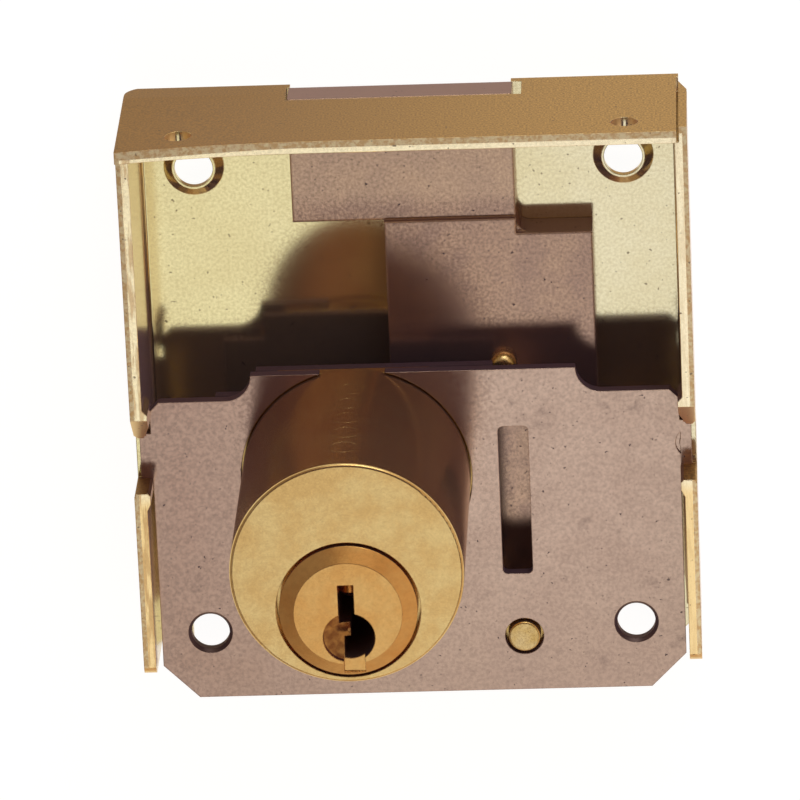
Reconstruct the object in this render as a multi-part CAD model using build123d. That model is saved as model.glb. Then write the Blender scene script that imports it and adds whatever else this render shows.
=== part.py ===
from build123d import *
import os
from math import cos, pi, sin, sqrt

# Rim lock for a cupboard or drawer, worked by a pin-tumbler cylinder, in millimetres.
# The lock lies on its back. X runs across it, +Y is the way the bolt is thrown, and +Z runs from
# the back plate to the cylinder's face. The selvedge is the folded edge that the bolt leaves by,
# and "down" is the distance from the selvedge's outer face towards the foot of the lock.

# Folded brass case
case_width = 54.0
case_height = 58.8
sheet = 1.2
fold_outer = 1.5
fold_inner = 0.3
selvedge_fold = 0.3
selvedge_depth = 17.3
selvedge_end_reach = 0.2
selvedge_end_gap = 0.2
wall_depth = 16.1
wall_foot_gap = 4.2
wall_top_gap = 0.9
wall_corner = 1.0
foot_chamfer = 3.4
selvedge_back_length = 8.0
wall_end_depth = 2.5
wall_end_chamfer = 2.5
selvedge_corner = 2.2
bend_start = 3.0
bend_length = 18.0
bend_in = 0.6

# Fixing holes
screw_inset = 6.3
top_screw_down = 7.7
top_screw_radius = 1.85
dimple_radius = 2.9
dimple_height = 0.7
dimple_lip = 0.25
countersink_radius = 3.3
foot_screw_up = 6.8
foot_screw_radius = 1.85
foot_screw_chamfer = 0.3
foot_notch_radius = 2.5
nail_inset = 5.9
nail_depth = 14.1
nail_radius = 1.3

# Steel cover plate, held by its two side tabs
cavity_depth = 9.4
cover_thickness = 1.2
cover_side_gap = 0.35
cover_height = 33.3
cover_step = 2.5
cover_top_width = 31.2
cover_corner_cut = 0.9
tab_up = 27.65
tab_width = 4.75
tab_clearance = 0.15
tab_short = 0.45
upper_lug = ((0, -3.8), (0.45, -3.3), (0.4, -1.5), (-0.3, 0.4), (-0.9, 0.4), (-1.1, 0), (-1.1, -3.8))
lower_lug = ((0, -1.4), (0.35, -0.7), (0.35, 0.1), (0.1, 0.35), (-1.1, 0.35), (-1.1, -1.4))
lug_slope_length = 3.2
lug_tip_height = 0.5
stake_radius = 1.5
stake_line = 0.4
stake_depth = 0.25
stake_reach = 1.0
window_x = 9.4
window_width = 2.9
window_up = 27.45
window_length = 15.3
window_corner = 0.5

# Bolt: a thinner head, a thicker body and a tail under the cover
throw = 10.0
bolt_floor_gap = 0.1
head_width = 21.45
head_middle = -0.475
head_thickness = 3.5
head_length = 12.45
slot_gap_left = 0.2
slot_gap_right = 0.95
slot_gap_front = 0.2
slot_fold_cut = 0.4
slot_tooth_under = 0.1
body_left = -2.4
body_right = 17.55
body_thickness = 4.1
shoulder_down = 14.0
shoulder_fillet = 1.3
body_under_cover = 6.3
tail_thickness = 3.1
tail_right = 13.0
tail_corner = 0.6
yoke_web = 2.0
yoke_length = 11.4
pillar_gap = 0.3
bolt_rivet_x = 8.6
bolt_rivet_under_cover = 1.6
bolt_rivet_radius = 1.3
bolt_rivet_height = 1.6
bolt_rivet_round = 1.0
bolt_rivet_tail_radius = 0.9

# Pillar and guide studs, riveted in the back plate
pillar_x = 9.8
pillar_up = 5.6
pillar_radius = 2.6
pillar_end_radius = 1.55
pillar_hole_clearance = 0.33
pillar_dome = 0.2
stud_tail_radius = 1.0
guide_radius = 1.5
guide_gap = 0.15
guide_below_yoke = 0.45
guide_height = 2.9

# Cylinder shell
shell_x = -5.8
shell_up = 22.6
shell_radius = 11.0
nose_length = 24.6
nose_round = 0.3
shell_hole_clearance = 0.15
neck_depth = 0.3
neck_over_cover = 0.1
flange_radius = 12.6
flange_thickness = 1.2
flange_flat_gap = 0.4
clamp_thickness = 1.2
clamp_half_width = 13.4
clamp_foot = 13.5
clamp_pad_radius = 1.0
clamp_pad_x = 12.2
clamp_pad_below_edge = 3.7
clamp_pad_foot = 11.6
clamp_bore_clearance = 0.4
clamp_step_gap = 0.4

# Plug, which the key turns
plug_drop = 3.67
plug_radius = 6.0
plug_clearance = 0.03
plug_head_radius = 6.5
plug_head_gap = 0.3
plug_head_length = 2.0
plug_end_play = 0.05
plug_rim_height = 0.1
plug_bevel_height = 0.9
plug_flat_radius = 5.1
key_left = -0.9
key_width = 1.5
key_top = 2.9
key_low_left = -0.5
key_low_right = 2.6
key_rear_wall = 1.5
ward_tip = 0.1
ward_top = -1.4
ward_height = 1.5
bow_seat_radius = 2.45
bow_seat_y = -2.4
bow_seat_depth = 0.6
bow_seat_cone_depth = 1.4
bow_seat_cone_radius = 0.2
key_notch_left = -0.6
key_notch_width = 2.0
key_notch_top = -4.4
key_notch_foot = -6.2
key_notch_depth = 0.1

# Pins, one row along the plug
pin_pitch = 3.8
first_pin_back = 4.4
pin_radius = 1.25
pin_clearance = 0.05
key_pin_lengths = (6.1, 4.6, 5.4, 3.8, 5.0)
key_pin_tip = 0.7
key_pin_tip_radius = 0.4
driver_length = 3.0
driver_gap = 0.02
chamber_floor = -0.6
spring_wire = 0.26
spring_coil_radius = 0.95
spring_turns = 6
spring_end_gap = 0.03
spring_room = 3.7

# Lost-motion cam on the plug's tail: it makes half a turn to the plug's whole turn
cam_radius = 7.2
cam_thickness = 4.3
cam_end_play = 0.1
spigot_radius = 2.0
spigot_clearance = 0.05
spigot_length = 3.1
dog_angle = 50.0
dog_radius = 4.4
dog_height = 1.4
dog_window_clearance = 0.3
dog_window_slack = 1.5
crank_radius = 1.5
crank_clearance = 0.08
crank_floor_gap = 0.3
crank_root = 2.0
cam_screw_head_radius = 2.8
cam_screw_head_height = 1.1
cam_screw_head_clearance = 0.2
cam_screw_radius = 1.0
cam_screw_length = 2.8
cam_screw_slot = 0.6

# Worked out from the sizes above
half_width = case_width / 2
inner_half_width = half_width - sheet
wall_length = case_height - wall_foot_gap
screw_spread = case_width - 2 * screw_inset
nail_spread = case_width - 2 * nail_inset
foot_screw_down = case_height - foot_screw_up
cover_top_down = case_height - cover_height
cover_shoulder_down = cover_top_down + cover_step
tab_down = case_height - tab_up
window_down = case_height - window_up
pillar_down = case_height - pillar_up
shell_down = case_height - shell_up
bolt_rivet_down = cover_top_down + bolt_rivet_under_cover
cover_back = sheet + cavity_depth
cover_front = cover_back + cover_thickness
cover_half_width = inner_half_width - cover_side_gap
selvedge_right = inner_half_width + selvedge_end_reach
wall_end_inner = selvedge_right + selvedge_end_gap
notch_top = tab_down - tab_clearance
notch_foot = tab_down + tab_width + tab_clearance
shell_front = cover_front + nose_length
shell_back = cover_back - flange_thickness
bolt_back = sheet + bolt_floor_gap
head_front = bolt_back + head_thickness
body_front = bolt_back + body_thickness
tail_front = bolt_back + tail_thickness
head_left = head_middle - head_width / 2
head_right = head_middle + head_width / 2
slot_left = head_left - slot_gap_left
slot_right = head_right + slot_gap_right
slot_front = head_front + slot_gap_front
body_down = cover_top_down + body_under_cover
crank_throw = throw / 2
plug_down = shell_down + plug_drop
head_floor = shell_front - plug_head_length
cam_front = shell_back - cam_end_play
cam_back = cam_front - cam_thickness
bore_radius = plug_radius + plug_clearance
counterbore_radius = plug_head_radius + plug_head_gap
chamber_radius = pin_radius + pin_clearance
key_pin_top = sqrt(plug_radius**2 - pin_radius**2)
driver_foot = bore_radius + driver_gap
spring_foot = driver_foot + driver_length + spring_end_gap
spring_height = spring_room - 2 * spring_end_gap
plug_cap_foot = driver_foot + driver_length + spring_room
yoke_left = shell_x - crank_radius - crank_clearance - yoke_web
tail_foot_down = pillar_down - pillar_radius - pillar_gap
yoke_top_down = tail_foot_down - yoke_length
guide_down = yoke_top_down + guide_below_yoke
clamp_back = shell_back - clamp_thickness
flange_flat = shell_down - cover_top_down - flange_flat_gap
clamp_pad_top = flange_flat - clamp_pad_below_edge


def y(down):
    """Where a distance down from the selvedge's outer face lies along Y."""
    return case_height / 2 - down


def block(x0, x1, down0, down1, z0, z1):
    """A box between two places across, two distances down and two heights."""
    middle = Pos((x0 + x1) / 2, (y(down0) + y(down1)) / 2, (z0 + z1) / 2)
    return middle * Box(abs(x1 - x0), abs(down1 - down0), abs(z1 - z0))


def post(x, down, radius, z0, z1):
    """A round post or hole along Z."""
    return Pos(x, y(down), (z0 + z1) / 2) * Cylinder(radius, z1 - z0)


def rod(x, z, radius, down0, down1):
    """A round rod or hole along Y."""
    return Pos(x, y((down0 + down1) / 2), z) * Rot(90, 0, 0) * Cylinder(radius, abs(down1 - down0))


def sector(radius, start, angle, z0, z1):
    """A sector of a disc about the plug's axis, from a start angle round by another."""
    place = Pos(shell_x, y(plug_down), z0) * Rot(0, 0, start)
    return place * Cylinder(radius, z1 - z0, arc_size=angle, align=None)


def taper(x, down, radius0, radius1, z0, z1):
    """A cone along Z from one radius to another."""
    return Pos(x, y(down), (z0 + z1) / 2) * Cone(radius0, radius1, z1 - z0)


def plate(points, z0, z1):
    """A flat plate cut to an outline of (x, down) corners."""
    outline = Polyline([(px, y(down)) for px, down in points], close=True)
    return Pos(0, 0, z0) * extrude(make_face(outline), z1 - z0)


def both_sides(spread, make):
    """The same feature at two places, half a spread to each side of the middle."""
    return make(-spread / 2) + make(spread / 2)


def fold_profile(width, height, outer):
    """Section of two legs of sheet with a round fold at the origin, legs along +u and +v."""
    inner = sheet + fold_inner
    path = Polyline((outer, 0), (width, 0), (width, sheet), (inner, sheet))
    path += RadiusArc((inner, sheet), (sheet, inner), fold_inner)
    path += Polyline((sheet, inner), (sheet, height), (0, height), (0, outer))
    path += RadiusArc((0, outer), (outer, 0), -outer)
    return make_face(path)


def back_and_walls():
    """The back plate with a side wall folded up at each edge."""
    section = Plane.XZ * Pos(-half_width, 0) * fold_profile(half_width, wall_depth, fold_outer)
    left = Pos(0, y(0), 0) * extrude(section, case_height)
    channel = left + mirror(left, about=Plane.YZ)
    deep = wall_depth + 1
    for side in (-1, 1):
        channel -= block(side * (inner_half_width - 1), side * (half_width + 1),
                         wall_length, case_height + 1, sheet, deep)
    ends = channel.edges().filter_by(Axis.X).group_by(Axis.Z)[-1].group_by(Axis.Y)[0]
    channel = fillet(ends, wall_corner)
    channel -= block(-half_width - 1, wall_end_inner, -1, fold_outer, -1, deep)
    channel -= block(-half_width - 1, -inner_half_width + 1, -1, sheet + wall_top_gap, fold_outer, deep)
    return channel - wall_end_cut()


def wall_end_cut():
    """The corner cut off the right wall's end, where it meets the back plate's fold."""
    top = wall_end_depth + wall_end_chamfer
    points = [(wall_end_inner - 1, -1), (wall_end_inner - 1, wall_end_depth), (wall_end_inner, wall_end_depth),
              (half_width, top), (half_width + 1, top), (half_width + 1, -1)]
    return Pos(0, y(-1), 0) * extrude(Plane.XZ * make_face(Polyline(points, close=True)), 1 + fold_outer)


def edge_section(bent):
    """The selvedge seen along Z, with its left end bent in by a given amount."""
    bend = -half_width + bend_length
    slope = (-bend_length, -2 * bent)
    outer = y(0)
    inner = y(sheet)
    path = Line((selvedge_right, outer), (bend, outer))
    path += Spline([(bend, outer), (-half_width, outer - bent)], tangents=[(-1, 0), slope])
    path += Line((-half_width, outer - bent), (-half_width, inner - bent))
    path += Spline([(bend, inner), (-half_width, inner - bent)], tangents=[(-1, 0), slope])
    path += Polyline([(bend, inner), (selvedge_right, inner), (selvedge_right, outer)])
    return make_face(path)


def selvedge():
    """The edge folded forward over the bolt's way out, with its front left corner knocked in a little."""
    leg = selvedge_back_length
    section = Plane.YZ * Rot(0, 0, 90) * fold_profile(bend_start, leg, selvedge_fold)
    edge = Pos(-half_width, y(0), 0) * extrude(section, selvedge_right + half_width)
    for side in (-1, 1):
        edge -= block(side * (half_width - fold_outer), side * (half_width + 1),
                      fold_outer, leg + 1, -1, sheet + 1)
    straight = Pos(0, 0, bend_start) * edge_section(0)
    bent = Pos(0, 0, selvedge_depth) * edge_section(bend_in)
    edge += loft([straight, bent], ruled=True)
    corner = block(-half_width - 1, -half_width + selvedge_corner, -1, fold_outer, -1, selvedge_corner)
    return edge - (corner - rod(-half_width + selvedge_corner, selvedge_corner, selvedge_corner, -2, leg))


def selvedge_web():
    """The strip of back plate that joins the selvedge to the right wall's corner."""
    web = block(selvedge_right - sheet, wall_end_inner, 0, sheet + fold_outer, 0, sheet)
    outer_edge = web.edges().filter_by(Axis.X).group_by(Axis.Z)[0].sort_by(Axis.Y)[-1]
    return fillet(outer_edge, selvedge_fold)


def dimple(x):
    """A screw hole pressed inwards, so that a countersunk head sits flush outside."""
    top = sheet + dimple_height
    return taper(x, top_screw_down, dimple_radius, top_screw_radius + dimple_lip, sheet, top)


def dimple_hole(x):
    """The way through a dimple: a cone for the screw's head and a short round wall."""
    hole = post(x, top_screw_down, top_screw_radius, -1, sheet + dimple_height + 1)
    return hole + taper(x, top_screw_down, countersink_radius, top_screw_radius, 0, sheet)


def foot_notch(x):
    """An open notch in the back plate's foot, behind a screw hole of the cover."""
    notch = post(x, foot_screw_down, foot_notch_radius, -1, sheet + 1)
    left = x - foot_notch_radius
    return notch + block(left, left + 2 * foot_notch_radius,
                         foot_screw_down, case_height + 1, -1, sheet + 1)


def foot_corner(side, z1):
    """The corner cut off the foot of a plate."""
    x0 = side * (half_width - foot_chamfer)
    x1 = side * half_width
    start = case_height - foot_chamfer
    points = [(x0, case_height), (x1, start), (x1 + side, start), (x1 + side, case_height + 1)]
    return plate(points + [(x0, case_height + 1)], -1, z1)


def wall_notch(side):
    """The notch in a side wall that takes a tab of the cover."""
    return block(side * (inner_half_width - 1), side * (half_width + 1), notch_top, notch_foot,
                 cover_back, wall_depth + 1)


def wall_lug(side, notch_edge, towards_foot, outline):
    """Metal of the wall driven in and over a tab at one end of its notch."""
    points = [(side * (inner_half_width - px), notch_edge + towards_foot * over) for px, over in outline]
    return plate(points, cover_front, wall_depth)


def bolt_slot():
    """The bolt's slot through the selvedge, with a tooth of the back plate left under each end of the bolt."""
    foot = sheet + slot_fold_cut
    slot = block(slot_left, slot_right, -1, foot, sheet, slot_front)
    return slot + block(head_left + slot_tooth_under, head_right - slot_tooth_under, -1, foot, -1, sheet)


def lug_slope(side):
    """What the punch pressed down of a wall's end above its notch, as a wedge."""
    tip_down = notch_top + upper_lug[3][1]
    top = wall_depth + 1
    points = [(y(tip_down - lug_slope_length), wall_depth), (y(tip_down), cover_front + lug_tip_height),
              (y(tip_down + 1), cover_front + lug_tip_height), (y(tip_down + 1), top),
              (y(tip_down - lug_slope_length), top)]
    outline = make_face(Polyline(points, close=True))
    wedge = Pos(inner_half_width - 1, 0, 0) * extrude(Plane.YZ * outline, sheet + 2)
    return wedge if side > 0 else mirror(wedge, about=Plane.YZ)


def make_case():
    """The whole case, folded from one sheet of brass."""
    case = back_and_walls() + selvedge() + selvedge_web()
    case += both_sides(screw_spread, dimple)
    case -= both_sides(screw_spread, dimple_hole)
    case -= both_sides(screw_spread, foot_notch)
    case -= bolt_slot()
    case -= both_sides(nail_spread, nail_hole)
    for side in (-1, 1):
        case -= foot_corner(side, sheet + 1)
        case -= wall_notch(side)
        case += wall_lug(side, notch_top, 1, upper_lug)
        case -= lug_slope(side)
        case += wall_lug(side, notch_foot, -1, lower_lug)
    case -= post(pillar_x, pillar_down, stud_tail_radius, -1, sheet + 1)
    for x in guide_places():
        case -= post(x, guide_down, stud_tail_radius, -1, sheet + 1)
    return case


def nail_hole(x):
    """A small hole through the selvedge for a nail or pin."""
    return rod(x, nail_depth, nail_radius, -1, 3 * sheet)


def cover_outline():
    """The cover's outline, with its raised middle, curved steps, side tabs and cut corners."""
    top = cover_top_width / 2
    rise = cover_shoulder_down - cover_top_down
    cut = cover_corner_cut
    reach = half_width - tab_short
    side = [(cover_half_width - cut, cover_shoulder_down), (cover_half_width, cover_shoulder_down + cut)]
    side += [(cover_half_width, tab_down), (reach, tab_down), (reach, tab_down + tab_width)]
    side += [(cover_half_width, tab_down + tab_width), (cover_half_width, case_height - foot_chamfer)]
    side += [(cover_half_width - foot_chamfer, case_height)]
    right = [(top + rise, cover_shoulder_down)] + side
    left = [(-px, down) for px, down in reversed(right)]
    path = Polyline([(px, y(down)) for px, down in right + left])
    path += RadiusArc((-top - rise, y(cover_shoulder_down)), (-top, y(cover_top_down)), -rise)
    path += Line((-top, y(cover_top_down)), (top, y(cover_top_down)))
    path += RadiusArc((top, y(cover_top_down)), (top + rise, y(cover_shoulder_down)), -rise)
    return make_face(path)


def stake_mark():
    """The crescent left on a tab where a punch spread it."""
    x = half_width - cover_side_gap - tab_clearance
    down = tab_down + tab_width / 2
    ring = post(x, down, stake_radius, cover_front - stake_depth, cover_front + 1)
    ring -= post(x, down, stake_radius - stake_line, cover_front - stake_depth - 1, cover_front + 2)
    return ring & block(x - 2 * stake_radius, x - stake_reach, tab_down, tab_down + tab_width, 0, cover_front + 1)


def make_cover():
    """The steel cover plate."""
    cover = Pos(0, 0, cover_back) * extrude(cover_outline(), cover_thickness)
    cover -= post(shell_x, shell_down, shell_radius + shell_hole_clearance, cover_back - 1, cover_front + 1)
    window = Pos(window_x, y(window_down + window_length / 2), cover_back)
    window *= Box(window_width, window_length, 4 * cover_thickness)
    cover -= fillet(window.edges().filter_by(Axis.Z), window_corner)
    cover -= both_sides(screw_spread, foot_screw_hole)
    cover -= post(pillar_x, pillar_down, pillar_end_radius + pillar_hole_clearance,
                  cover_back - 1, cover_front + 1)
    return cover - stake_mark()


def foot_screw_hole(x):
    """A screw hole through the foot of the cover, its front edge broken."""
    hole = post(x, foot_screw_down, foot_screw_radius, cover_back - 1, cover_front + 1)
    return hole + taper(x, foot_screw_down, foot_screw_radius, foot_screw_radius + foot_screw_chamfer,
                        cover_front - foot_screw_chamfer, cover_front)


def crank_path():
    """Centre line of the crank pin as the bolt sees it, while the cam makes half a turn.

    The pin goes round its circle as the bolt moves evenly with the cam, so in the bolt it goes out
    along one side of a narrow leaf and back along the other, and both ends of the throw are its tip.
    """
    steps = 18
    points = []
    for i in range(steps):
        angle = pi * i / steps
        across = shell_x + crank_throw * sin(angle)
        along = y(plug_down) - crank_throw * cos(angle) - throw * i / steps
        points.append((across, along))
    return make_face(Polyline(points, close=True))


def yoke_slot():
    """The slot in the bolt's tail that the crank pin works in."""
    opening = offset(crank_path(), crank_radius + crank_clearance, kind=Kind.ARC)
    return Pos(0, 0, -1) * extrude(opening, body_front + 2)


def make_bolt():
    """The bolt, with its head, shoulder, body and slotted tail."""
    head = block(head_left, head_right, 0, head_length, bolt_back, head_front)
    body = block(body_left, body_right, shoulder_down, body_down, bolt_back, body_front)
    neck = block(body_left, head_right, head_length, shoulder_down, bolt_back, body_front)
    corner = block(head_right - 1, head_right + shoulder_fillet,
                   shoulder_down - shoulder_fillet, shoulder_down + 1, bolt_back, head_front)
    corner -= post(head_right + shoulder_fillet, shoulder_down - shoulder_fillet,
                   shoulder_fillet, 0, body_front)
    tail = block(body_left, tail_right, body_down, tail_foot_down, bolt_back, tail_front)
    yoke = block(yoke_left, body_left, yoke_top_down, tail_foot_down, bolt_back, tail_front)
    low = fillet((tail + yoke).edges().filter_by(Axis.Z).group_by(Axis.Y)[0], tail_corner)
    bolt = head + neck + corner + body + low
    bolt -= yoke_slot()
    return bolt - post(bolt_rivet_x, bolt_rivet_down, bolt_rivet_tail_radius, 0, body_front + 1)


def make_bolt_rivet():
    """A small brass rivet on the bolt, just under the cover's top edge."""
    top = body_front + bolt_rivet_height
    head = post(bolt_rivet_x, bolt_rivet_down, bolt_rivet_radius, body_front, top)
    head = fillet(head.edges().group_by(Axis.Z)[-1], bolt_rivet_round)
    return head + post(bolt_rivet_x, bolt_rivet_down, bolt_rivet_tail_radius, bolt_back, body_front)


def make_pillar():
    """The pillar that carries the cover's foot, with its end showing through the cover."""
    pillar = post(pillar_x, pillar_down, stud_tail_radius, 0, sheet)
    pillar += post(pillar_x, pillar_down, pillar_radius, sheet, cover_back)
    end = post(pillar_x, pillar_down, pillar_end_radius, cover_back, cover_front + pillar_dome)
    return pillar + fillet(end.edges().group_by(Axis.Z)[-1], pillar_dome)


def guide_places():
    """Where the two guide studs stand, one against each edge of the bolt's tail."""
    return (yoke_left - guide_gap - guide_radius, tail_right + guide_gap + guide_radius)


def make_guide_studs():
    """Two studs in the back plate that keep the bolt's tail straight."""
    studs = []
    for x in guide_places():
        stud = post(x, guide_down, guide_radius, sheet, sheet + guide_height)
        studs.append(stud + post(x, guide_down, stud_tail_radius, 0, sheet))
    return Compound(studs)


def pin_heights():
    """Heights of the pin chambers, from the cylinder's face inwards."""
    return [shell_front - first_pin_back - i * pin_pitch for i in range(len(key_pin_lengths))]


def across_plug(z, radius, near, far):
    """A round rod or hole along Y at one chamber, between two distances from the plug's axis."""
    place = Pos(shell_x, y(plug_down) + (near + far) / 2, z) * Rot(90, 0, 0)
    return place * Cylinder(radius, far - near)


def shell_round(radius, z0, z1):
    """A round about the shell's own axis."""
    return post(shell_x, shell_down, radius, z0, z1)


def make_shell():
    """The cylinder's shell, with a flat-sided flange behind the cover."""
    shell = shell_round(shell_radius, shell_back, shell_front)
    shell = fillet(shell.edges().group_by(Axis.Z)[-1], nose_round)
    neck_top = cover_front + neck_over_cover
    shell -= shell_round(shell_radius + 1, cover_back, neck_top) - shell_round(
        shell_radius - neck_depth, cover_back, neck_top)
    shell += shell_round(flange_radius, shell_back, cover_back)
    flat_down = shell_down - flange_flat
    shell -= block(shell_x - 2 * flange_radius, shell_x + 2 * flange_radius,
                   flat_down - flange_radius, flat_down, shell_back - 1, cover_back)
    shell -= post(shell_x, plug_down, bore_radius, shell_back - 1, shell_front + 1)
    shell -= post(shell_x, plug_down, counterbore_radius, head_floor, shell_front + 1)
    for z in pin_heights():
        shell -= across_plug(z, chamber_radius, 0, plug_drop + 2 * shell_radius)
    return shell


def make_clamp_plate():
    """The steel plate behind the flange, welded to the back of the cover at four pressed pads."""
    clamp = block(shell_x - clamp_half_width, shell_x + clamp_half_width,
                  shell_down - flange_flat, shell_down + clamp_foot, clamp_back, shell_back)
    clamp -= post(shell_x, plug_down, cam_radius + clamp_bore_clearance, clamp_back - 1, shell_back + 1)
    clamp -= block(-half_width, clamp_step_gap - cover_top_width / 2, cover_top_down - 1,
                   cover_shoulder_down + clamp_step_gap, clamp_back - 1, shell_back + 1)
    for x in (shell_x - clamp_pad_x, shell_x + clamp_pad_x):
        for down in (shell_down - clamp_pad_top, shell_down + clamp_pad_foot):
            clamp += post(x, down, clamp_pad_radius, shell_back, cover_back)
    return clamp


def key_way():
    """The keyway, carried through the plug: a slot, and a wider round foot with a ward at its left."""
    right = key_left + key_width
    slot = make_face(Polyline([(key_left, key_top), (right, key_top), (right, bow_seat_y), (key_left, bow_seat_y)],
                              close=True))
    foot = Pos(0, bow_seat_y) * Circle(bow_seat_radius)
    low = Pos((key_low_left + key_low_right) / 2, bow_seat_y) * Rectangle(
        key_low_right - key_low_left, 2 * bow_seat_radius)
    ward = Pos((key_left + ward_tip) / 2, ward_top - ward_height / 2) * Rectangle(
        ward_tip - key_left, ward_height)
    outline = slot + (foot & low) - ward
    return Pos(shell_x, y(plug_down), shell_back + key_rear_wall) * extrude(outline, shell_front)


def bow_seat(face):
    """The round recess round the keyway's foot, with a drill's cone for its floor."""
    seat_down = plug_down - bow_seat_y
    floor = face - bow_seat_depth
    seat = post(shell_x, seat_down, bow_seat_radius, floor, face + 1)
    return seat + taper(shell_x, seat_down, bow_seat_cone_radius, bow_seat_radius,
                        floor - bow_seat_cone_depth, floor)


def key_notch(rim):
    """A shallow notch in the plug's bevel, under the keyway."""
    left = shell_x + key_notch_left
    return block(left, left + key_notch_width, plug_down - key_notch_top, plug_down - key_notch_foot,
                 rim - key_notch_depth, rim + plug_bevel_height + 1)


def driving_dog():
    """The dog on the plug's rear face, standing towards the selvedge at rest."""
    return sector(dog_radius, 90 - dog_angle / 2, dog_angle, shell_back - dog_height, shell_back)


def make_plug():
    """The plug, with its raised face, keyway, pin chambers, dog and tail spigot."""
    rim = shell_front + plug_rim_height
    plug = post(shell_x, plug_down, plug_radius, shell_back, head_floor + plug_end_play)
    plug += post(shell_x, plug_down, plug_head_radius, head_floor + plug_end_play, rim)
    plug += taper(shell_x, plug_down, plug_head_radius, plug_flat_radius, rim, rim + plug_bevel_height)
    plug -= key_way()
    plug -= bow_seat(rim + plug_bevel_height)
    plug -= key_notch(rim)
    for z in pin_heights():
        plug -= across_plug(z, chamber_radius, chamber_floor, plug_radius + 1)
    plug += driving_dog()
    plug += post(shell_x, plug_down, spigot_radius, shell_back - spigot_length, shell_back)
    screw_end = shell_back - spigot_length + cam_screw_length
    return plug - post(shell_x, plug_down, cam_screw_radius, shell_back - spigot_length - 1, screw_end)


def make_cam():
    """The cam: it runs free on the spigot until the plug's dog meets an end of its window."""
    cam = post(shell_x, plug_down, cam_radius, cam_back, cam_front)
    window_angle = 180 + dog_angle + 2 * dog_window_slack
    start = 90 - dog_angle / 2 - dog_window_slack
    window_floor = shell_back - dog_height - cam_end_play
    cam -= sector(dog_radius + dog_window_clearance, start, window_angle, window_floor, cam_front + 1)
    cam -= post(shell_x, plug_down, spigot_radius + spigot_clearance, cam_back - 1, cam_front + 1)
    head_room = shell_back - spigot_length + cam_end_play
    cam -= post(shell_x, plug_down, cam_screw_head_radius + cam_screw_head_clearance,
                cam_back - 1, head_room)
    return cam - post(shell_x, plug_down + crank_throw, crank_radius, cam_back - 1, cam_back + crank_root)


def make_crank_pin():
    """The hard pin pressed in the cam, which drives the bolt."""
    return post(shell_x, plug_down + crank_throw, crank_radius,
                sheet + crank_floor_gap, cam_back + crank_root)


def make_cam_screw():
    """The screw in the plug's tail that keeps the cam on and the plug in."""
    seat = shell_back - spigot_length
    head = post(shell_x, plug_down, cam_screw_head_radius, seat - cam_screw_head_height, seat)
    slot_foot = seat - cam_screw_head_height
    slot = Box(3 * cam_screw_head_radius, cam_screw_slot, cam_screw_head_height)
    head -= Pos(shell_x, y(plug_down), slot_foot) * slot
    return head + post(shell_x, plug_down, cam_screw_radius, seat, seat + cam_screw_length)


def make_key_pin(z, length):
    """A key pin with its pointed end in the keyway and its top at the shear line."""
    foot = key_pin_top - length
    pin = across_plug(z, pin_radius, foot + key_pin_tip, key_pin_top)
    middle = Pos(shell_x, y(plug_down) + foot + key_pin_tip / 2, z) * Rot(90, 0, 0)
    return pin + middle * Cone(pin_radius, key_pin_tip_radius, key_pin_tip)


def make_driver_pin(z):
    """A driver pin, just outside the shear line."""
    return across_plug(z, pin_radius, driver_foot, driver_foot + driver_length)


def make_pin_spring(z):
    """A small coil spring between a driver pin and the plug that closes its chamber."""
    height = spring_height - spring_wire
    coil = Helix(height / spring_turns, height, spring_coil_radius)
    wire = Plane(coil @ 0, z_dir=coil % 0) * Circle(spring_wire / 2)
    spring = sweep(wire, path=coil, is_frenet=True)
    place = Pos(shell_x, y(plug_down) + spring_foot + spring_wire / 2, z) * Rot(-90, 0, 0)
    return place * spring


def make_chamber_caps():
    """Round caps pressed in the chambers and turned flush with the shell."""
    caps = []
    body = shell_round(shell_radius, shell_back, shell_front)
    for z in pin_heights():
        cap = across_plug(z, chamber_radius, plug_cap_foot, plug_drop + 2 * shell_radius) & body
        caps.append(cap.solid())
    return Compound(caps)


def main():
    """Write one file for each piece, or group of like pieces."""
    parts = {
        "case": make_case(),
        "cover_plate": make_cover(),
        "bolt": make_bolt(),
        "bolt_rivet": make_bolt_rivet(),
        "pillar_stud": make_pillar(),
        "guide_studs": make_guide_studs(),
        "cylinder_shell": make_shell(),
        "cylinder_clamp_plate": make_clamp_plate(),
        "chamber_caps": make_chamber_caps(),
        "plug": make_plug(),
        "lost_motion_cam": make_cam(),
        "crank_pin": make_crank_pin(),
        "cam_screw": make_cam_screw(),
    }
    for i, z in enumerate(pin_heights()):
        parts[f"key_pin_{i + 1}"] = make_key_pin(z, key_pin_lengths[i])
        parts[f"driver_pin_{i + 1}"] = make_driver_pin(z)
        parts[f"pin_spring_{i + 1}"] = make_pin_spring(z)
    os.makedirs("parts", exist_ok=True)
    for name, shape in parts.items():
        export_step(shape, f"parts/{name}.step")


if __name__ == "__main__":
    main()
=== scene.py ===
"""A cupboard's cylinder lock, lying on its back.

The finishes of its brass and steel, and the studio round it.
"""
import math

import bpy
import numpy as np
from bpy.props import FloatProperty, FloatVectorProperty, PointerProperty
from mathutils import Matrix, Vector

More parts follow.
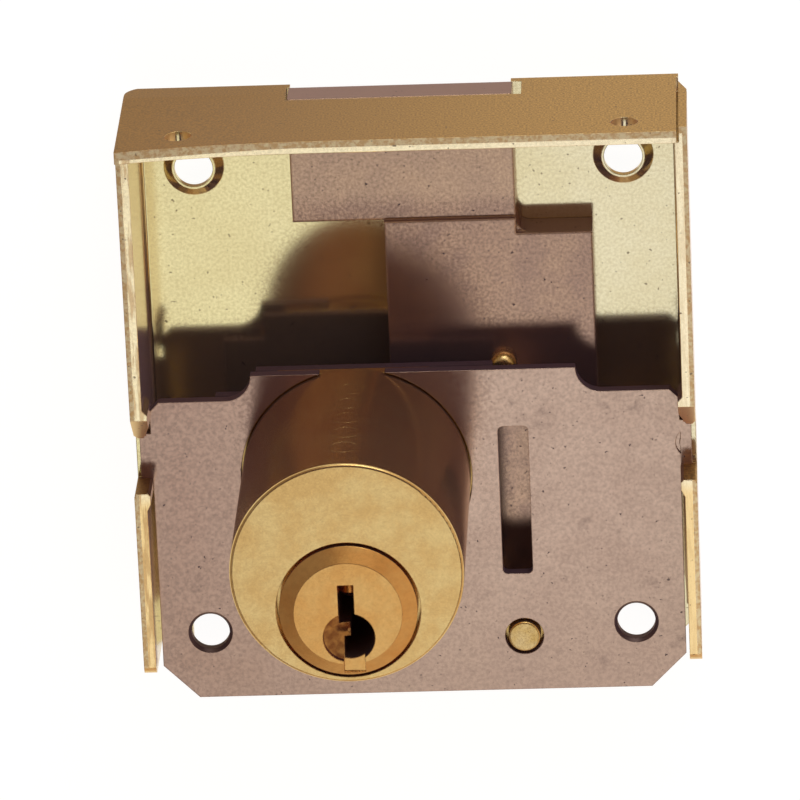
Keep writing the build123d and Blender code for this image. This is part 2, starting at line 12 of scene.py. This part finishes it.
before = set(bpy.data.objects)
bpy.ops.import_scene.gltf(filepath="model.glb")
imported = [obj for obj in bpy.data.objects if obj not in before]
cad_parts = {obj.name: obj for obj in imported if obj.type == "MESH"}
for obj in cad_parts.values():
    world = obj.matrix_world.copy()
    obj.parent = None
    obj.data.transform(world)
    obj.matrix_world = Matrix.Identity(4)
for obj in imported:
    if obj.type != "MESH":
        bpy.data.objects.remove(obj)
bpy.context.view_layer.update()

bl_info = {
    "name": "Cupboard cylinder lock",
    "version": (1, 0, 0),
    "blender": (4, 5, 0),
    "location": "View3D > Sidebar > Lock",
    "description": "Finishes the pieces of a brass and steel cupboard lock and lights it",
    "category": "Object",
}

MM = 0.001


def mm(*lengths):
    """Lengths in millimetres, as the metres that Blender works in."""
    return [length * MM for length in lengths]


# Lines on the lock, measured from its middle: where a finish or a painted shade begins, and where it is
# whole.
# X runs to the right, Y towards the selvedge and Z to the front.
CASE_FRONT = mm(15.9, 16.0)
WALLS = mm(25.4, 25.6)
WALLS_LOWER_PART = mm(-6, -8)
OUTER_HALF_OF_WALLS = mm(26.5, 26.6)
OUTER_HALF_OF_SELVEDGE = mm(28.7, 28.8)
SELVEDGE_BENT_END = mm(-9, -31)
SELVEDGE_BENT_IN = 0.8 * MM
# Painted shade darkens the case's colours across this span, from its right towards its left.
CASE_LEFT_TO_RIGHT = mm(-22, 24)
ABOVE_THE_COVERS_TABS = mm(10.5, 11)
COVER_TO_ITS_LEFT = mm(2, -25)
COVER_TO_ITS_FOOT = mm(-8, -30)
BOLT_HEAD = mm(17.5, 20)
BOLT_END = mm(24, 26)
KEY_SEAT_DROP = 2.4 * MM
KEY_SEAT_RIM = mm(2.8, 2.6)
KEY_SEAT_FLOOR = mm(0.05, 0.2)

# How squarely a surface faces one way, as the cosine of the angle: where that counts 0, and where 1.
TO_THE_FRONT = (0.8, 0.9)
AT_ALL_TO_THE_FRONT = (0.2, 0.4)
NOT_LEVEL = (0.99, 0.95)
ON_EDGE = (0.95, 0.75)
OUTSIDE_OF_SELVEDGE = (0.55, 0.8)
SAWN_ACROSS = (0.7, 0.9)

# The studio: places from the lock's middle and sizes, in metres.
LOCK_MIDDLE = Vector((0, -0.4, 6)) * MM
CAMERA_SHIFT = (-0.01994, -0.00979)
FLOOR_SIZE = 2.0
FLOOR_BELOW = 0.2 * MM
SOFTBOX_DISTANCE = 0.5
SOFTBOX_ASIDE = Vector((0.025, -0.065, 0))
SOFTBOX_HEIGHT_TO_WIDTH = 1.4
STRIP_PLACE, STRIP_SIZE = Vector((0.08, 0.42, 0.27)), (0.42, 0.28)
RIM_LIGHT_PLACE, RIM_LIGHT_SIZE = Vector((0.08, 0.46, 0.19)), (0.24, 0.12)
DARK_CARD_PLACE, DARK_CARD_SIZE = Vector((0.02, -0.1, 1.0)) * 0.7, (0.72, 1.0)
WARM_CARD_PLACE, WARM_CARD_SIZE = Vector((-0.2, 0.27, 1.0)) * 0.66, (0.46, 0.4)
CARD_FADE = (0.1, 0.5)
FLOOR_WHITE = 1.15
FLOOR_WHITE_SHARE = 0.8
WORLD_SLANT = (0.9, -0.3)
WORLD_LEVELS = (0.35, 0.95)


def linear(hex_colour):
    """An sRGB hex value as linear colour: c / 12.92 near black, ((c + 0.055) / 1.055) ** 2.4 above."""
    parts = [int(hex_colour[i:i + 2], 16) / 255 for i in (0, 2, 4)]
    return tuple(c / 12.92 if c <= 0.04045 else ((c + 0.055) / 1.055) ** 2.4 for c in parts) + (1.0,)


def feed(tree, node, inputs):
    """Give each input of a node its value, or the output of another node."""
    for name, value in inputs.items():
        if isinstance(value, bpy.types.NodeSocket):
            tree.links.new(value, node.inputs[name])
        else:
            node.inputs[name].default_value = value


def add(tree, kind, settings=None, inputs=None):
    """Add one node. Settings are its own properties, and an input takes a value or another node's output."""
    made = tree.nodes.new(kind)
    for name, value in (settings or {}).items():
        setattr(made, name, value)
    feed(tree, made, inputs or {})
    return made


def new_material(name):
    """A new material, its tree, its shader and the coordinates that move with the object."""
    material = bpy.data.materials.new(name)
    material.use_nodes = True
    tree = material.node_tree
    own = add(tree, "ShaderNodeTexCoord").outputs
    return material, tree, tree.nodes["Principled BSDF"], own


def place_and_facing(tree, own):
    """Where a point lies on the object and which way the surface faces there, each as X, Y and Z."""
    return [add(tree, "ShaderNodeSeparateXYZ", {}, {"Vector": own[name]}).outputs
            for name in ("Object", "Normal")]


def product(tree, first, *others):
    """Numbers multiplied together."""
    for other in others:
        first = add(tree, "ShaderNodeMath", {"operation": "MULTIPLY"}, {0: first, 1: other}).outputs[0]
    return first


def past(tree, *lines):
    """How far a point is past all of some lines, from 0 before any one of them to 1 beyond them all.

    A line is a measure, the value where it counts 0 and the value, greater or less, where it counts 1,
    with a smooth step between them.
    """
    return product(tree, *[add(tree, "ShaderNodeMapRange", {"interpolation_type": "SMOOTHSTEP"},
                               {"Value": measure, "From Min": start, "From Max": end}).outputs[0]
                           for measure, start, end in lines])


def cloud(tree, own, size_mm, low, high, detail=3.0, stretch=(1, 1, 1)):
    """Soft patches about size_mm across, as a number from 0 to 1 between two thresholds of the noise."""
    mapped = add(tree, "ShaderNodeMapping", {}, {"Vector": own["Object"], "Scale": stretch})
    noise = add(tree, "ShaderNodeTexNoise", {}, {"Vector": mapped.outputs[0], "Scale": 1 / (size_mm * MM),
                                                 "Detail": detail, "Roughness": 0.6})
    return past(tree, (noise.outputs[0], low, high))


def coated(tree, colour, *coats):
    """A colour under coats of others. A coat is its colour and the shares whose product it covers by."""
    for over, *shares in coats:
        colour = add(tree, "ShaderNodeMix", {"data_type": "RGBA"},
                     {0: product(tree, *shares), 6: colour, 7: over}).outputs[2]
    return colour


def graded(tree, number, *changes):
    """A number that becomes another in places. A change is the other number and its share there."""
    for other, share in changes:
        number = add(tree, "ShaderNodeMix", {"data_type": "FLOAT"},
                     {0: share, 2: number, 3: other}).outputs[0]
    return number


def finish_metal(tree, shader, colour, roughness, relief, depth_mm, edge_mm,
                 slanting=(1.0, 0.8, 0.62, 1.0), dust=0.45):
    """Join colour, roughness and relief to the shader, with edges broken by a small radius.

    Four parts in a hundred aren't metal, and a faint violet-grey sheen lies over all: the film of dust and
    oxide that keeps dark reflections from black. The specular tint is what slanting metal turns towards.
    """
    edge = add(tree, "ShaderNodeBevel", {"samples": 6}, {"Radius": edge_mm * MM})
    bump = add(tree, "ShaderNodeBump", {}, {"Height": relief, "Distance": depth_mm * MM, "Strength": 1.0,
                                            "Normal": edge.outputs[0]})
    feed(tree, shader, {
        "Base Color": colour,
        "Roughness": roughness,
        "Normal": bump.outputs[0],
        "Metallic": 0.96,
        "Specular Tint": slanting,
        "Sheen Weight": dust,
        "Sheen Roughness": 0.9,
        "Sheen Tint": linear("86708C"),
    })


def outer_half(tree, at, aside, front):
    """1 on the outer half of the case's front edges, along both walls and the selvedge, and 0 elsewhere.

    The selvedge's left end is bent in, so its band follows the bend. Aside is the distance from the
    case's middle to either side.
    """
    bend = product(tree, past(tree, (at[0], *SELVEDGE_BENT_END)), SELVEDGE_BENT_IN)
    unbent = add(tree, "ShaderNodeMath", {"operation": "ADD"}, {0: at[1], 1: bend}).outputs[0]
    outer = add(tree, "ShaderNodeMath", {"operation": "MAXIMUM"},
                {0: past(tree, (aside, *OUTER_HALF_OF_WALLS)),
                 1: past(tree, (unbent, *OUTER_HALF_OF_SELVEDGE))}).outputs[0]
    return product(tree, outer, front)


def rolled_sheet_brass(look):
    """Sheet brass as rolled, 63% copper: a pale yellow mirror inside, duller and browner on its outer skin,
    and painted darker and warmer towards the left as shade.

    The eye gets clear but grainy reflections, small dark pits, and cut edges in two bands: the burnished
    half that the shear pressed and the rougher half that broke. The real grain, about 0.05 mm, wouldn't
    show, so it is drawn a few times coarser.
    """
    material, tree, shader, own = new_material("rolled_sheet_brass")
    at, facing = place_and_facing(tree, own)
    patches = cloud(tree, own, 7, 0.3, 0.7)
    grain = cloud(tree, own, 0.3, 0.3, 0.7, detail=2)
    relief = cloud(tree, own, 0.16, 0.3, 0.7, detail=2)
    pits = cloud(tree, own, 0.5, 0.72, 0.77, detail=1)
    # Painted shade: the case's colours darken and its edges dull towards the left, where less light falls,
    # and lighten towards the right.
    right = past(tree, (at[0], *CASE_LEFT_TO_RIGHT))
    aside = add(tree, "ShaderNodeMath", {"operation": "ABSOLUTE"}, {0: at[0]}).outputs[0]

    # The cut edges, duller along the walls and more so towards the left as painted shade, and the metal that
    # was driven over the cover's tabs, its slopes painted golden as a highlight
    front = past(tree, (at[2], *CASE_FRONT), (facing[2], *TO_THE_FRONT))
    broken = outer_half(tree, at, aside, front)
    mottled = coated(tree, linear("FFF0C0"),
                     (linear("E4C080"), cloud(tree, own, 0.45, 0.35, 0.65, detail=2)))
    streaks = cloud(tree, own, 0.5, 0.4, 0.6, detail=3, stretch=(1, 0.12, 1))
    dull = product(tree, past(tree, (aside, *WALLS)), graded(tree, 0.6, (0.2, right)))
    # The driven metal's slopes: really rougher, and painted a golden tone as a highlight for the light they
    # catch.
    driven = past(tree, (at[2], *ABOVE_THE_COVERS_TABS), (facing[2], *AT_ALL_TO_THE_FRONT),
                  (facing[2], *NOT_LEVEL))

    # The selvedge's outside, which kept the skin of the rolled sheet, painted darker towards the left as
    # shade
    skin = past(tree, (facing[1], *OUTSIDE_OF_SELVEDGE))
    skin_colour = coated(tree, look.outer_skin,
                         (linear("BE9448"), right),
                         (linear("6A4A14"), cloud(tree, own, 0.2, 0.35, 0.65, detail=2), 0.7))
    colour = coated(tree, look.sheet_brass_warm,
                    (look.sheet_brass, right),
                    (linear("CFC088"), patches, 0.25),
                    (linear("A88C50"), grain, 0.18),
                    (linear("FFF2CC"), front, 0.6),
                    (linear("EECB80"), front, past(tree, (at[1], *WALLS_LOWER_PART)), 0.7),
                    (linear("AE8448"), front, streaks, dull),
                    (mottled, broken, 0.9),
                    (linear("EFC67C"), driven, 0.6),
                    (skin_colour, skin),
                    (linear("4A3820"), pits, 0.7))

    torn = add(tree, "ShaderNodeMath", {"operation": "MAXIMUM"}, {0: broken, 1: driven}).outputs[0]
    roughness = graded(tree, 0.08, (0.13, grain), (0.34, torn), (0.42, skin))
    finish_metal(tree, shader, colour, roughness, relief, 0.0003, 0.12,
                 slanting=(1.0, 0.92, 0.8, 1.0), dust=graded(tree, 0.55, (0.1, skin)))
    return material


def sheet_steel(look):
    """Plain mild steel sheet, pickled and lightly oiled.

    It looks grey-brown and satin, with dark specks and faint stains; its cut edges are rougher and painted
    near black as the shade they sit in.
    """
    material, tree, shader, own = new_material("pickled_sheet_steel")
    at, facing = place_and_facing(tree, own)
    grain = cloud(tree, own, 0.35, 0.3, 0.7, detail=3)
    level = add(tree, "ShaderNodeMath", {"operation": "ABSOLUTE"}, {0: facing[2]}).outputs[0]
    # Cut edges: rougher, and painted near black as the shade they sit in.
    cut = past(tree, (level, *ON_EDGE))
    # Darker towards the cover's left and towards its foot.
    colour = coated(tree, look.cover_steel,
                    (linear("AC907E"), past(tree, (at[0], *COVER_TO_ITS_LEFT))),
                    (linear("A08670"), past(tree, (at[1], *COVER_TO_ITS_FOOT)), 0.4),
                    (linear("AD9482"), cloud(tree, own, 6, 0.35, 0.65), 0.5),
                    (linear("75655C"), grain, 0.25),
                    (linear("5E4E48"), cloud(tree, own, 2.2, 0.6, 0.75, detail=4), 0.35),
                    (linear("2E2624"), cloud(tree, own, 0.5, 0.69, 0.75, detail=2), 0.8),
                    (linear("2C2222"), cut, 0.9))
    roughness = graded(tree, 0.11, (0.19, grain), (0.4, cut))
    finish_metal(tree, shader, colour, roughness, grain, 0.0006, 0.1)
    return material


def ground_bolt_steel(look):
    """Bright drawn steel, ground flat: smoother than the sheet, a little violet, with handling stains.

    Its head, worn bright by the strike, is lighter, and the faces that the saw left are rougher.
    """
    material, tree, shader, own = new_material("ground_bolt_steel")
    at, facing = place_and_facing(tree, own)
    grain = cloud(tree, own, 0.3, 0.3, 0.7, detail=3)
    sawn = past(tree, (facing[1], *SAWN_ACROSS))
    side = coated(tree, linear("B09A98"), (linear("705C50"), past(tree, (at[1], *BOLT_END))))
    colour = coated(tree, look.bolt_steel,
                    (linear("AA8E7C"), cloud(tree, own, 5, 0.35, 0.65)),
                    (linear("6E5A52"), grain, 0.3),
                    (linear("DCC0A0"), past(tree, (at[1], *BOLT_HEAD)), 0.35),
                    (side, sawn, 0.8),
                    (linear("2C2222"), cloud(tree, own, 0.6, 0.68, 0.73, detail=2), 0.8))
    roughness = graded(tree, 0.17, (0.24, grain), (0.5, sawn))
    finish_metal(tree, shader, colour, roughness, grain, 0.0006, 0.3)
    return material


def turned_brass(name, base, warm, smooth, rough, grime=None):
    """Free-cutting brass, turned and lightly polished: golden and satin, with faint dark streaks along the
    axis painted in as reflections.

    The last argument is a place on the front; near it, what lies lower than it is painted a mottled brown as
    the shade in the key's recessed seat.
    """
    material, tree, shader, own = new_material(name)
    grain = cloud(tree, own, 0.2, 0.3, 0.7, detail=2)
    # Painted reflection: faint dark streaks stretched along the axis.
    colour = coated(tree, base,
                    (warm, cloud(tree, own, 4, 0.35, 0.65)),
                    (linear("8A6430"), cloud(tree, own, 0.5, 0.3, 0.7, stretch=(1, 1, 0.05)), 0.15))
    # Painted shade: the key's recessed seat, darkened to a mottled brown.
    if grime:
        at = place_and_facing(tree, own)[0]
        off_middle = add(tree, "ShaderNodeVectorMath", {"operation": "DISTANCE"},
                         {0: own["Object"], 1: grime}).outputs["Value"]
        under, floor = [grime[2] - depth for depth in KEY_SEAT_FLOOR]
        mottled = graded(tree, 0.45, (0.9, cloud(tree, own, 1.2, 0.35, 0.65)))
        seat = past(tree, (at[2], under, floor), (off_middle, *KEY_SEAT_RIM))
        colour = coated(tree, colour, (linear("6A3E1C"), seat, mottled))
    finish_metal(tree, shader, colour, graded(tree, smooth, (rough, grain)), grain, 0.0002, 0.1, dust=0.15)
    return material


def marked_steel(name, marks_mm, colour, marked, smooth, rough, depth_mm, edge_mm):
    """Steel with one kind of mark all over, which has its own colour and is rougher than the rest."""
    material, tree, shader, own = new_material(name)
    marks = cloud(tree, own, marks_mm, 0.3, 0.7)
    finish_metal(tree, shader, coated(tree, colour, (marked, marks)), graded(tree, smooth, (rough, marks)),
                 marks, depth_mm, edge_mm)
    return material


def dress(material, *nodes):
    """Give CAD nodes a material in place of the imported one."""
    for name in nodes:
        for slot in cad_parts[name].material_slots:
            slot.material = material


def key_seat():
    """Where the key's round shoulder seats: under the plug's middle, on its front."""
    corners = [Vector(corner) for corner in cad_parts["plug"].bound_box]
    middle = sum(corners, Vector()) / len(corners)
    return middle.x, middle.y - KEY_SEAT_DROP, max(corner.z for corner in corners)


def chosen_colour(name, description, default):
    """A colour that a user can change."""
    return FloatVectorProperty(name=name, description=description, subtype="COLOR", size=4, min=0, max=1,
                               default=default)


class LockFinishes(bpy.types.PropertyGroup):
    """Colours of the lock's metals."""

    sheet_brass: chosen_colour("Sheet brass", "Inner side of the folded case", linear("E6DFBC"))
    # Painted shade: the inner side's colour towards the left, darker and warmer than to the right.
    sheet_brass_warm: chosen_colour("Sheet brass, warm", "Inner side of the case towards its left",
                                    linear("E6DDA8"))
    # Painted shade: the selvedge's outer face is darker towards the left and lightens to the right.
    outer_skin: chosen_colour("Outer skin", "Duller outer face of the selvedge", linear("906620"))
    cover_steel: chosen_colour("Cover steel", "Sheet steel of the cover plate", linear("BEA693"))
    bolt_steel: chosen_colour("Bolt steel", "Ground steel of the bolt", linear("BA9C84"))
    shell_brass: chosen_colour("Cylinder brass", "Turned brass of the cylinder's shell", linear("D9BE80"))
    plug_brass: chosen_colour("Plug brass", "Turned brass of the plug", linear("D4AA66"))
    cam_steel: chosen_colour("Cam steel", "Turned steel of the cam and its screw", linear("9A9692"))


class LockStudio(bpy.types.PropertyGroup):
    """Where the camera stands, and how bright the studio is."""

    tilt: FloatProperty(
        name="Tilt", description="Camera's angle off the cylinder's axis, towards the selvedge",
        subtype="ANGLE", default=math.radians(20.810))
    turn: FloatProperty(
        name="Turn", description="Camera's angle to the right of the middle",
        subtype="ANGLE", default=math.radians(2.477))
    roll: FloatProperty(
        name="Roll", description="Camera's turn about its own line of sight",
        subtype="ANGLE", default=math.radians(-2.469))
    distance: FloatProperty(
        name="Distance", description="From the camera to the middle of the lock",
        subtype="DISTANCE", unit="LENGTH", default=736.835 * MM)
    lens: FloatProperty(
        name="Lens", description="Focal length for a 36 mm sensor", default=342.68, min=50)
    softbox_strength: FloatProperty(
        name="Softbox", description="Brightness of the softbox as polished metal shows it",
        default=1.04, min=0)
    softbox_size: FloatProperty(
        name="Softbox size", description="Width of the softbox",
        subtype="DISTANCE", unit="LENGTH", default=0.18, min=0.05)
    strip_strength: FloatProperty(
        name="Strip", description="Brightness of the low strip lamp behind the selvedge",
        default=0.9, min=0)
    rim_strength: FloatProperty(
        name="Rim light", description="Brightness of the small lamp that lights the cylinder's rim",
        default=4.0, min=0)
    dark_card: chosen_colour("Dark card", "Colour of the dark card over the lock", (0.055, 0.027, 0.025, 1))
    warm_card: chosen_colour("Warm card", "Colour of the warmer card beside the camera", (0.2, 0.1, 0.075, 1))


class LOCK_OT_case_finish(bpy.types.Operator):
    """Give the folded case its rolled sheet brass"""
    bl_idname = "lock.case_finish"
    bl_label = "Case finish"

    def execute(self, context):
        dress(rolled_sheet_brass(context.scene.lock_finishes), "case")
        return {"FINISHED"}


class LOCK_OT_steel_finish(bpy.types.Operator):
    """Give the cover plate, the clamp plate and the bolt their steel"""
    bl_idname = "lock.steel_finish"
    bl_label = "Cover and bolt finish"

    def execute(self, context):
        look = context.scene.lock_finishes
        dress(sheet_steel(look), "cover_plate")
        dress(ground_bolt_steel(look), "bolt")
        # Steel strip with its black mill scale left on, which no one polishes behind a cover
        scaled = marked_steel("scaled_steel", 0.6, linear("2A2222"), linear("3A302E"), 0.4, 0.55, 0.002, 0.1)
        dress(scaled, "cylinder_clamp_plate")
        return {"FINISHED"}


class LOCK_OT_cylinder_finish(bpy.types.Operator):
    """Give the cylinder's shell and plug their turned brass"""
    bl_idname = "lock.cylinder_finish"
    bl_label = "Cylinder finish"

    def execute(self, context):
        look = context.scene.lock_finishes
        shell = turned_brass("turned_shell_brass", look.shell_brass, linear("D2B070"), 0.16, 0.22)
        dress(shell, "cylinder_shell", "chamber_caps")
        # The key's seat on the plug gets painted shade.
        plug = turned_brass("turned_plug_brass", look.plug_brass, linear("D09E58"), 0.16, 0.22, key_seat())
        dress(plug, "plug")
        return {"FINISHED"}


class LOCK_OT_small_finish(bpy.types.Operator):
    """Give studs, rivet, pins, springs, cam and screw their finishes"""
    bl_idname = "lock.small_finish"
    bl_label = "Small pieces' finish"

    def execute(self, context):
        look = context.scene.lock_finishes
        stud = turned_brass("turned_stud_brass", linear("D9C08A"), linear("C9A455"), 0.2, 0.3)
        dress(stud, "pillar_stud", "guide_studs", "bolt_rivet")
        pins = turned_brass("turned_pin_brass", linear("C98A45"), linear("B87838"), 0.2, 0.3)
        dress(pins, *[f"{kind}_pin_{i}" for kind in ("key", "driver") for i in range(1, 6)])
        # Hard-drawn spring wire: dark grey, with fine marks
        wire = marked_steel("drawn_spring_wire", 0.1, linear("8A8886"), linear("5C5A5A"), 0.3, 0.4,
                            0.0005, 0.02)
        dress(wire, *[f"pin_spring_{i}" for i in range(1, 6)])
        # Free-cutting steel, turned: grey, with a film of oil
        turned = marked_steel("turned_steel", 0.4, look.cam_steel, linear("6F6C6A"), 0.25, 0.35, 0.001, 0.1)
        dress(turned, "lost_motion_cam", "crank_pin", "cam_screw")
        return {"FINISHED"}


def flat_card(name, width, height, centre, facing):
    """A flat rectangle turned to face a point: centre + turn * (+-width / 2, +-height / 2, 0)."""
    turned = np.array((Vector(facing) - Vector(centre)).to_track_quat("Z", "Y").to_matrix())
    corners = np.array([(-1, -1, 0), (1, -1, 0), (1, 1, 0), (-1, 1, 0)]) * (width / 2, height / 2, 0)
    mesh = bpy.data.meshes.new(name)
    mesh.from_pydata((corners @ turned.T + np.array(centre)).tolist(), [], [(0, 1, 2, 3)])
    card = bpy.data.objects.new(name, mesh)
    bpy.context.scene.collection.objects.link(card)
    return card


def soft_lamp(name, place, width, height, strength):
    """A rectangular lamp that faces the lock: strength 1 looks as bright in a mirror as white."""
    area = bpy.data.lights.new(name, "AREA")
    area.shape = "RECTANGLE"
    area.size = width
    area.size_y = height
    area.energy = strength * math.pi * width * height
    lamp = bpy.data.objects.new(name, area)
    bpy.context.scene.collection.objects.link(lamp)
    lamp.location = LOCK_MIDDLE + place
    lamp.rotation_mode = "QUATERNION"
    lamp.rotation_quaternion = place.to_track_quat("Z", "Y")
    lamp.visible_camera = False


def empty_material(name):
    """A material with no nodes yet, and its tree."""
    material = bpy.data.materials.new(name)
    material.use_nodes = True
    material.node_tree.nodes.clear()
    return material, material.node_tree


def reflected_card(name, place, width, height, colour, rim):
    """A level card over the lock that only polished metal shows. It fades to another colour at its rim."""
    centre = LOCK_MIDDLE + place
    card = flat_card(name, width, height, centre, centre - Vector((0, 0, 1)))
    material, tree = empty_material(name)
    own = add(tree, "ShaderNodeTexCoord").outputs
    off_middle = add(tree, "ShaderNodeVectorMath", {"operation": "SUBTRACT"},
                     {0: own["Generated"], 1: (0.5, 0.5, 0.5)}).outputs[0]
    away = add(tree, "ShaderNodeVectorMath", {"operation": "ABSOLUTE"}, {0: off_middle}).outputs[0]
    part = add(tree, "ShaderNodeSeparateXYZ", {}, {"Vector": away}).outputs
    farther = add(tree, "ShaderNodeMath", {"operation": "MAXIMUM"}, {0: part[0], 1: part[1]}).outputs[0]
    seen = coated(tree, colour, (rim, past(tree, (farther, *CARD_FADE))))
    glow = add(tree, "ShaderNodeEmission", {}, {"Color": seen, "Strength": 1.0}).outputs[0]
    add(tree, "ShaderNodeOutputMaterial", {}, {"Surface": glow})
    card.data.materials.append(material)
    card.visible_camera = False
    card.visible_shadow = False
    card.visible_diffuse = False


def pale_floor_material():
    """Matt white card: white to the camera and in the metal, less a share of real light for the shadow."""
    material, tree = empty_material("matt_white_card")
    path = add(tree, "ShaderNodeLightPath").outputs
    seen = path["Is Camera Ray"]
    for ray in ("Is Glossy Ray", "Is Transmission Ray"):
        seen = add(tree, "ShaderNodeMath", {"operation": "MAXIMUM"}, {0: seen, 1: path[ray]}).outputs[0]
    matt = add(tree, "ShaderNodeBsdfDiffuse", {}, {"Color": linear("FAF9F7")}).outputs[0]
    white = add(tree, "ShaderNodeEmission", {}, {"Color": (1, 1, 1, 1), "Strength": FLOOR_WHITE}).outputs[0]
    mixed = add(tree, "ShaderNodeMixShader", {},
                {0: product(tree, seen, FLOOR_WHITE_SHARE), 1: matt, 2: white}).outputs[0]
    add(tree, "ShaderNodeOutputMaterial", {}, {"Surface": mixed})
    return material


def set_camera(scene, studio):
    """Put the camera at its distance along the line of sight, and return the way from the lock to it."""
    tilt, turn, roll = studio.tilt, studio.turn, studio.roll
    away = Vector((math.sin(turn), math.sin(tilt) * math.cos(turn), math.cos(tilt) * math.cos(turn)))
    across = (-away).cross(Vector((0, 1, 0))).normalized()
    upward = across.cross(-away)
    right = across * math.cos(roll) + upward * math.sin(roll)
    top = upward * math.cos(roll) - across * math.sin(roll)

    lens = bpy.data.cameras.new("camera")
    lens.sensor_width = 36
    lens.lens = studio.lens
    lens.shift_x, lens.shift_y = CAMERA_SHIFT
    lens.clip_start = 0.01
    camera = bpy.data.objects.new("camera", lens)
    scene.collection.objects.link(camera)
    axes = Matrix((right, top, away)).transposed().to_4x4()
    camera.matrix_world = Matrix.Translation(LOCK_MIDDLE + away * studio.distance) @ axes
    scene.camera = camera
    return away


def light_lock(studio, away):
    """Hang the softbox where the cover mirrors it to the camera, and the lamps and cards round it."""
    mirrored = Vector((-away.x, -away.y, away.z))
    width = studio.softbox_size
    soft_lamp("softbox", mirrored * SOFTBOX_DISTANCE + SOFTBOX_ASIDE, width, SOFTBOX_HEIGHT_TO_WIDTH * width,
              studio.softbox_strength)
    soft_lamp("strip", STRIP_PLACE, *STRIP_SIZE, studio.strip_strength)
    soft_lamp("rim_light", RIM_LIGHT_PLACE, *RIM_LIGHT_SIZE, studio.rim_strength)
    reflected_card("dark_card", DARK_CARD_PLACE, *DARK_CARD_SIZE, studio.dark_card, studio.dark_card)
    reflected_card("warm_card", WARM_CARD_PLACE, *WARM_CARD_SIZE, studio.warm_card, studio.dark_card)


def surround(scene):
    """A warm grey world that is brighter to the right of the lock and past its foot."""
    world = bpy.data.worlds.new("studio")
    scene.world = world
    world.use_nodes = True
    tree = world.node_tree
    tree.nodes.clear()
    toward = add(tree, "ShaderNodeTexCoord").outputs["Generated"]
    slant = add(tree, "ShaderNodeVectorMath", {"operation": "DOT_PRODUCT"},
                {0: toward, 1: (*WORLD_SLANT, 0)}).outputs["Value"]
    low, high = WORLD_LEVELS
    level = graded(tree, low, (high, past(tree, (slant, -1, 1))))
    sky = add(tree, "ShaderNodeBackground", {}, {"Color": linear("F3D9C0"), "Strength": level}).outputs[0]
    add(tree, "ShaderNodeOutputWorld", {}, {"Surface": sky})


class LOCK_OT_stage(bpy.types.Operator):
    """Lay the lock on a pale floor under a softbox, and set the camera"""
    bl_idname = "lock.stage"
    bl_label = "Stage"

    def execute(self, context):
        scene = context.scene
        away = set_camera(scene, scene.lock_studio)
        floor = flat_card("floor", FLOOR_SIZE, FLOOR_SIZE, (0, 0, -FLOOR_BELOW), (0, 0, 1))
        floor.data.materials.append(pale_floor_material())
        light_lock(scene.lock_studio, away)
        surround(scene)
        scene.view_settings.view_transform = "Standard"
        return {"FINISHED"}


class LOCK_PT_panel(bpy.types.Panel):
    """Lists the steps that finish the lock, under the settings that they read"""
    bl_label = "Cylinder lock"
    bl_idname = "LOCK_PT_panel"
    bl_space_type = "VIEW_3D"
    bl_region_type = "UI"
    bl_category = "Lock"

    def draw(self, context):
        for group in (context.scene.lock_finishes, context.scene.lock_studio):
            for name in group.bl_rna.properties.keys():
                if name not in ("rna_type", "name"):
                    self.layout.prop(group, name)
        for step in STEPS:
            self.layout.operator(step.bl_idname)


STEPS = (LOCK_OT_case_finish, LOCK_OT_steel_finish, LOCK_OT_cylinder_finish, LOCK_OT_small_finish,
         LOCK_OT_stage)
CLASSES = (LockFinishes, LockStudio, *STEPS, LOCK_PT_panel)


def register():
    """Add the classes, and the settings that they read, to Blender."""
    for made in CLASSES:
        bpy.utils.register_class(made)
    bpy.types.Scene.lock_finishes = PointerProperty(type=LockFinishes)
    bpy.types.Scene.lock_studio = PointerProperty(type=LockStudio)


def unregister():
    """Take them away again."""
    del bpy.types.Scene.lock_studio
    del bpy.types.Scene.lock_finishes
    for made in reversed(CLASSES):
        bpy.utils.unregister_class(made)


def main():
    """Run the steps in order."""
    register()
    bpy.ops.lock.case_finish()
    bpy.ops.lock.steel_finish()
    bpy.ops.lock.cylinder_finish()
    bpy.ops.lock.small_finish()
    bpy.ops.lock.stage()


if __name__ == "__main__":
    main()
